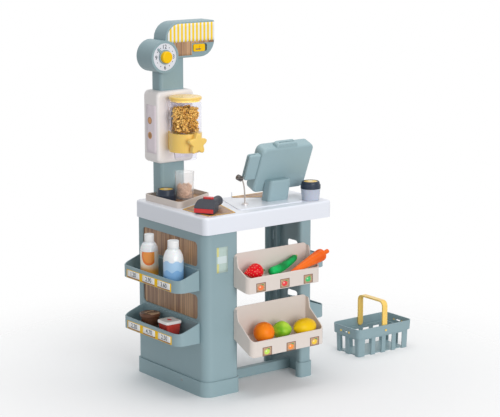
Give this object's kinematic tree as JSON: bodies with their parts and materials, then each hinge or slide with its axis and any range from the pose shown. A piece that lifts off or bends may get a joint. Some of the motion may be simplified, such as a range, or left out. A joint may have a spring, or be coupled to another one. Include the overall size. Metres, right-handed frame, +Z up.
{
  "type": "toy market stall",
  "caption": "Child's play shop: an L-shaped counter on end panels with display trays, a turning food dispenser, a clock sign, a till, a scanner, play groceries and a carry basket.",
  "frame": {"origin": "on the floor, at the middle of the stall's width, under the centre line of the floor crossbar that joins the two end panels", "axes": "+X to the right along the customer's side, +Y from the customer to the clerk, +Z up"},
  "size_m": [0.814, 0.399, 0.9345],
  "materials": {
    "sage_plastic": "moulded",
    "white_plastic": "moulded",
    "wood_print": "printed plank sheet",
    "silver_plastic": "moulded",
    "beige_plastic": "moulded",
    "yellow_plastic": "moulded",
    "clear_plastic": "moulded",
    "play_cereal": "moulded",
    "screen_black": "moulded",
    "dark_plastic": "moulded",
    "red_plastic": "moulded",
    "navy_plastic": "moulded",
    "lavender_plastic": "moulded",
    "orange_plastic": "moulded",
    "brown_plastic": "moulded",
    "jelly_red": "moulded",
    "berry_red": "moulded",
    "cucumber_green": "moulded",
    "carrot_orange": "moulded",
    "pepper_green": "moulded",
    "lemon_yellow": "moulded"
  },
  "bodies": {
    "stall": {"left_end_panel": "sage_plastic", "left_plinth": "sage_plastic", "left_wood_board": "wood_print", "left_shelf_upper": "sage_plastic", "left_shelf_lower": "sage_plastic", "right_end_panel": "sage_plastic", "right_plinth": "sage_plastic", "right_shelf_upper": "sage_plastic", "right_shelf_lower": "sage_plastic", "floor_crossbar": "sage_plastic", "counter_top": "white_plastic", "wood_inlays": "wood_print", "front_tray_upper": "beige_plastic", "front_tray_lower": "beige_plastic", "corner_tray": "beige_plastic", "column": "sage_plastic", "dispenser_housing": "beige_plastic", "hopper": "clear_plastic", "dispenser_base": "yellow_plastic", "dispenser_spout": "clear_plastic", "hopper_filling": "play_cereal", "head_shell": "sage_plastic", "clock_face": "white_plastic", "register_stand": "sage_plastic", "register_rear_shell": "sage_plastic", "register_bezel": "sage_plastic", "register_screen": "screen_black", "register_keypad": "beige_plastic", "card_reader": "sage_plastic", "microphone": "silver_plastic"},
    "dispenser_wheel": {"dispenser_rotor": "white_plastic", "star_knob": "yellow_plastic"},
    "hopper_cover": {"hopper_lid": "yellow_plastic"},
    "clock_hand": {"clock_pointer": "sage_plastic", "clock_hub": "yellow_plastic"},
    "slider": {"sign_slider": "yellow_plastic"},
    "key_1": {"register_key_1": "yellow_plastic"},
    "key_2": {"register_key_2": "beige_plastic"},
    "key_3": {"register_key_3": "yellow_plastic"},
    "scanner": {"scanner_body": "dark_plastic", "scanner_window": "red_plastic"},
    "scanner_trigger": {"scanner_button": "red_plastic"},
    "clear_cup": {"cereal_cup": "clear_plastic"},
    "spare_lid": {"loose_lid": "navy_plastic"},
    "drink_cup": {"takeaway_cup": "lavender_plastic"},
    "drink_lid": {"takeaway_lid": "navy_plastic"},
    "juice": {"juice_bottle": "orange_plastic"},
    "milk": {"milk_bottle": "white_plastic"},
    "dessert": {"dessert_tub": "brown_plastic"},
    "jelly": {"jelly_pot": "jelly_red"},
    "berry": {"strawberry": "berry_red"},
    "cucumber_toy": {"cucumber": "cucumber_green"},
    "carrot_toy": {"carrot": "carrot_orange"},
    "orange_toy": {"orange": "orange_plastic"},
    "pepper_toy": {"green_pepper": "pepper_green"},
    "lemon_toy": {"lemon": "lemon_yellow"},
    "basket": {"basket_body": "sage_plastic", "basket_pins": "yellow_plastic"},
    "handle": {"basket_handle": "yellow_plastic"}
  },
  "joints": [
    {"name": "knob_spin", "type": "hinge", "parent": "stall", "child": "dispenser_wheel", "pos_m": [-0.0825, 0.1138, 0.629], "axis": [0, 1, 0], "continuous": true},
    {"name": "hopper_lid_lift", "type": "slide", "parent": "stall", "child": "hopper_cover", "axis": [0, 0, 1], "range_m": [0, 0.05]},
    {"name": "clock_hand_spin", "type": "hinge", "parent": "stall", "child": "clock_hand", "pos_m": [-0.119, 0.154, 0.848], "axis": [0, 1, 0], "continuous": true},
    {"name": "sign_slide", "type": "slide", "parent": "stall", "child": "slider", "axis": [1, 0, 0], "range_m": [0, 0.0085]},
    {"name": "key_1_press", "type": "slide", "parent": "stall", "child": "key_1", "axis": [0, -0.9272, -0.3746], "range_m": [0, 0.002], "stiffness_N_per_m": 200},
    {"name": "key_2_press", "type": "slide", "parent": "stall", "child": "key_2", "axis": [0, -0.9272, -0.3746], "range_m": [0, 0.002], "stiffness_N_per_m": 200},
    {"name": "key_3_press", "type": "slide", "parent": "stall", "child": "key_3", "axis": [0, -0.9272, -0.3746], "range_m": [0, 0.002], "stiffness_N_per_m": 200},
    {"name": "scanner_lift", "type": "slide", "parent": "stall", "child": "scanner", "axis": [0, 0, 1], "range_m": [0, 0.1]},
    {"name": "scanner_press", "type": "slide", "parent": "scanner", "child": "scanner_trigger", "axis": [0, 0, -1], "range_m": [0, 0.002], "stiffness_N_per_m": 200},
    {"name": "clear_cup_lift", "type": "slide", "parent": "stall", "child": "clear_cup", "axis": [0, 0, 1], "range_m": [0, 0.02]},
    {"name": "spare_lid_lift", "type": "slide", "parent": "stall", "child": "spare_lid", "axis": [0, 0, 1], "range_m": [0, 0.055]},
    {"name": "drink_cup_lift", "type": "slide", "parent": "stall", "child": "drink_cup", "axis": [0, 0, 1], "range_m": [0, 0.03]},
    {"name": "drink_lid_lift", "type": "slide", "parent": "drink_cup", "child": "drink_lid", "axis": [0, 0, 1], "range_m": [0, 0.025]},
    {"name": "juice_lift", "type": "slide", "parent": "stall", "child": "juice", "axis": [0, 0, 1], "range_m": [0, 0.12]},
    {"name": "milk_lift", "type": "slide", "parent": "stall", "child": "milk", "axis": [0, 0, 1], "range_m": [0, 0.12]},
    {"name": "dessert_lift", "type": "slide", "parent": "stall", "child": "dessert", "axis": [0, 0, 1], "range_m": [0, 0.07]},
    {"name": "jelly_lift", "type": "slide", "parent": "stall", "child": "jelly", "axis": [0, 0, 1], "range_m": [0, 0.07]},
    {"name": "berry_lift", "type": "slide", "parent": "stall", "child": "berry", "axis": [0, 0, 1], "range_m": [0, 0.06]},
    {"name": "cucumber_toy_lift", "type": "slide", "parent": "stall", "child": "cucumber_toy", "axis": [0, 0, 1], "range_m": [0, 0.06]},
    {"name": "carrot_toy_lift", "type": "slide", "parent": "stall", "child": "carrot_toy", "axis": [0, 0, 1], "range_m": [0, 0.06]},
    {"name": "orange_toy_lift", "type": "slide", "parent": "stall", "child": "orange_toy", "axis": [0, 0, 1], "range_m": [0, 0.06]},
    {"name": "pepper_toy_lift", "type": "slide", "parent": "stall", "child": "pepper_toy", "axis": [0, 0, 1], "range_m": [0, 0.06]},
    {"name": "lemon_toy_lift", "type": "slide", "parent": "stall", "child": "lemon_toy", "axis": [0, 0, 1], "range_m": [0, 0.06]},
    {"name": "basket_lift", "type": "slide", "parent": "stall", "child": "basket", "axis": [0, 0, 1], "range_m": [0, 0.3]},
    {"name": "basket_handle_swing", "type": "hinge", "parent": "basket", "child": "handle", "pos_m": [0.471, -0.001, 0.066], "axis": [0, 1, 0], "range_deg": [-90, 90]}
  ]
}
